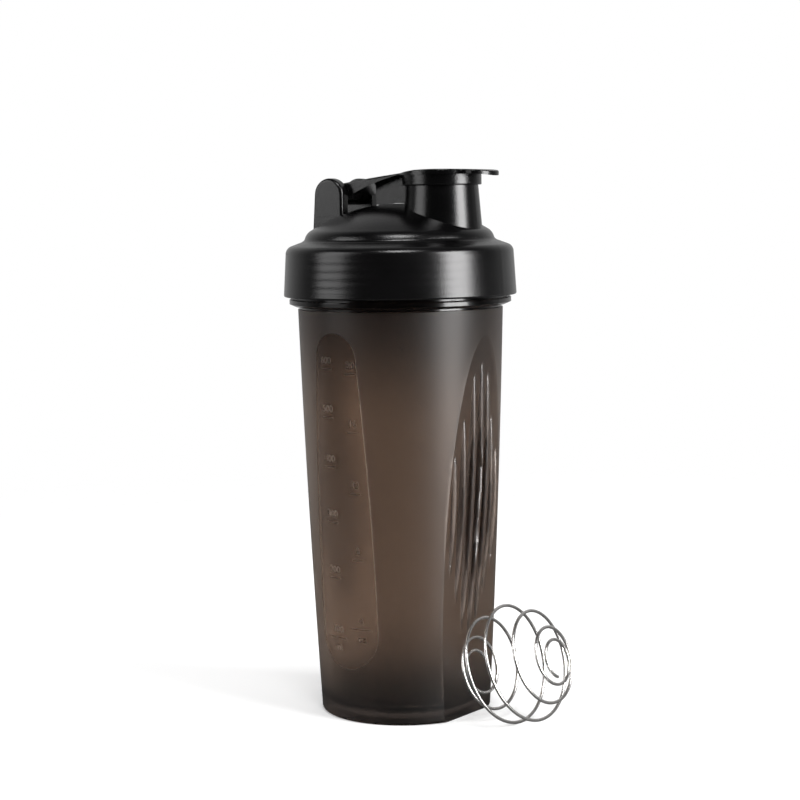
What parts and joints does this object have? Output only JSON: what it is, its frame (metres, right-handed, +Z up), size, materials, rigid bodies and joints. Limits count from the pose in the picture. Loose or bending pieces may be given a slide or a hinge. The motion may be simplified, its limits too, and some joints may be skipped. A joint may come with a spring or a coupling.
{
  "type": "protein shaker bottle",
  "caption": "Tapered shaker bottle with ribbed finger scoops, a screw lid with pouring spout and flip cap, and a loose wire whisk ball.",
  "frame": {"origin": "centre of the base on the surface that the bottle stands on", "axes": "+Z up the bottle's axis, +X from the lid's hinge to its spout, +Y to the left when looking along +X"},
  "size_m": [0.1236, 0.0952, 0.222],
  "materials": {
    "smoky_cup": "smoky translucent, frosted outside with glossy grips and window",
    "lid_plastic": "fine moulded texture, satin",
    "seal_silicone": "soft matt",
    "steel_wire": "bright drawn wire"
  },
  "bodies": {
    "bottle": {"bottle_body": "smoky_cup"},
    "gasket": {"lid_gasket": "seal_silicone"},
    "lid": {"lid": "lid_plastic"},
    "cap": {"flip_cap": "lid_plastic", "spout_plug": "seal_silicone"},
    "ball": {"whisk_ball": "steel_wire"}
  },
  "joints": [
    {"name": "lid_lift", "type": "slide", "parent": "bottle", "child": "gasket", "axis": [0, 0, 1], "range_m": [0, 0.0064]},
    {"name": "lid_turn", "type": "hinge", "parent": "gasket", "child": "lid", "pos_m": [0, 0, 0.18], "axis": [0, 0, 1], "range_deg": [0, 720]},
    {"name": "cap_flip", "type": "hinge", "parent": "lid", "child": "cap", "pos_m": [-0.0252, 0, 0.2124], "axis": [0, -1, 0], "range_deg": [0, 180]},
    {"name": "ball_roll", "type": "slide", "parent": "bottle", "child": "ball", "axis": [1, 0, 0], "range_m": [0, 0.08]}
  ],
  "couplings": [
    {"joint": "lid_lift", "follows": "lid_turn", "m_per_rad": 0.0005093}
  ]
}
